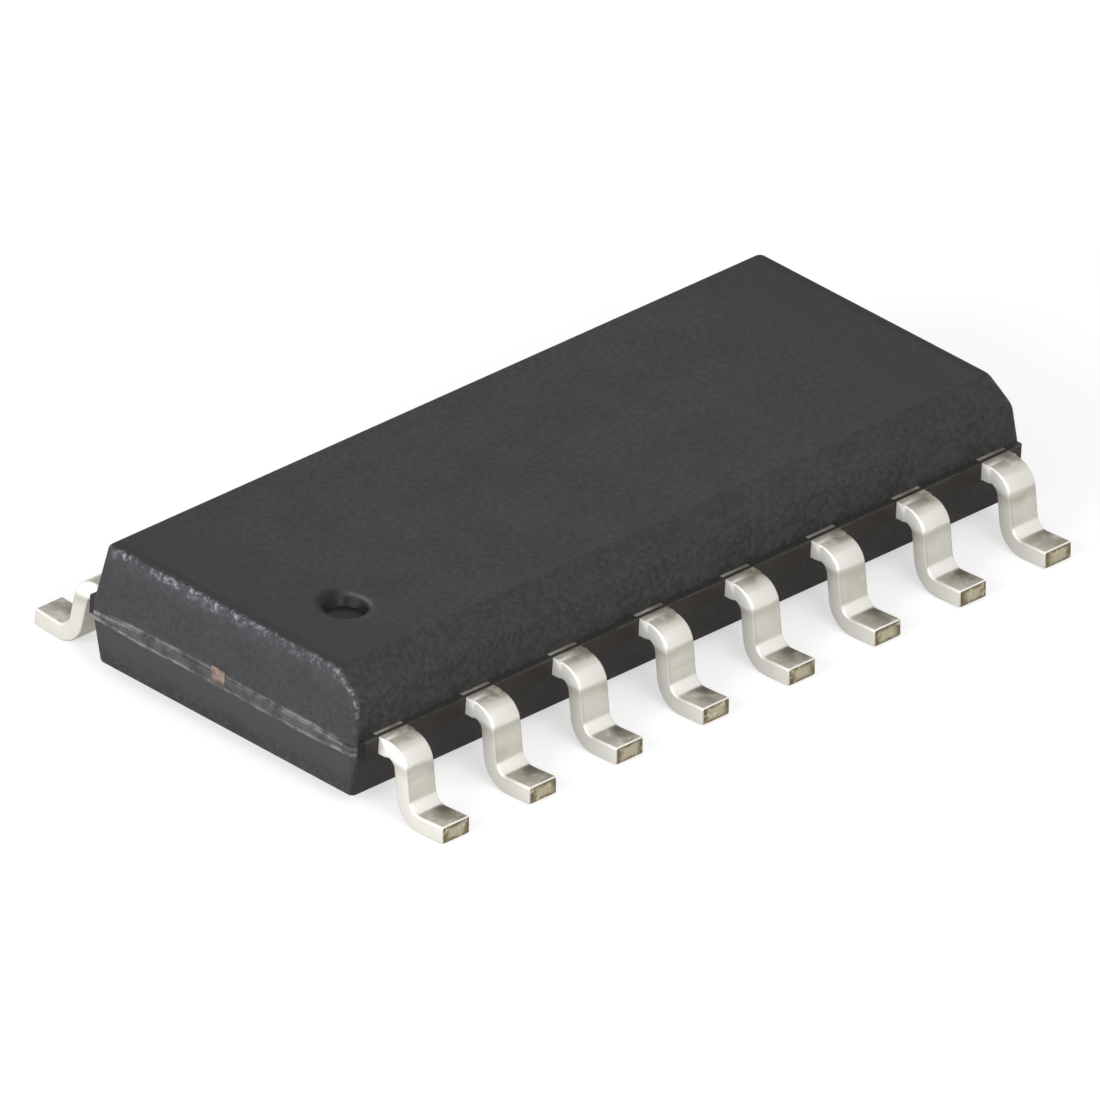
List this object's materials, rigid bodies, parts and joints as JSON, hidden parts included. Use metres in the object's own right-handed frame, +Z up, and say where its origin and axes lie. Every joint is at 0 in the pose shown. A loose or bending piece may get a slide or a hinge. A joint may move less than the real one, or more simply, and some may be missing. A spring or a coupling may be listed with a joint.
{
  "type": "surface-mount integrated circuit",
  "caption": "Narrow small-outline chip: a bevelled black moulding with gull-wing leads along both long sides, over a hidden lead frame, die and bond wires.",
  "frame": {"origin": "centre of the footprint on the seating plane", "axes": "+X along the body away from the pin 1 end, +Z up from the board; pins 1 to 8 stand along -Y"},
  "size_m": [0.0098, 0.006, 0.0016],
  "materials": {
    "mould_compound": "moulded, matte",
    "tin_plate": "matte tin plate",
    "copper_frame": "bare copper alloy",
    "die_attach": "silver-filled epoxy",
    "silicon": "polished",
    "gold_wire": "drawn gold"
  },
  "bodies": {
    "root": {"body": "mould_compound", "die_paddle": "copper_frame", "die_attach": "die_attach", "die": "silicon", "lead_1": "tin_plate", "lead_2": "tin_plate", "lead_3": "tin_plate", "lead_4": "tin_plate", "lead_5": "tin_plate", "lead_6": "tin_plate", "lead_7": "tin_plate", "lead_8": "tin_plate", "lead_9": "tin_plate", "lead_10": "tin_plate", "lead_11": "tin_plate", "lead_12": "tin_plate", "lead_13": "tin_plate", "lead_14": "tin_plate", "lead_15": "tin_plate", "lead_16": "tin_plate", "bond_wire_1": "gold_wire", "bond_wire_2": "gold_wire", "bond_wire_3": "gold_wire", "bond_wire_4": "gold_wire", "bond_wire_5": "gold_wire", "bond_wire_6": "gold_wire", "bond_wire_7": "gold_wire", "bond_wire_8": "gold_wire", "bond_wire_9": "gold_wire", "bond_wire_10": "gold_wire", "bond_wire_11": "gold_wire", "bond_wire_12": "gold_wire", "bond_wire_13": "gold_wire", "bond_wire_14": "gold_wire", "bond_wire_15": "gold_wire", "bond_wire_16": "gold_wire"}
  },
  "joints": []
}
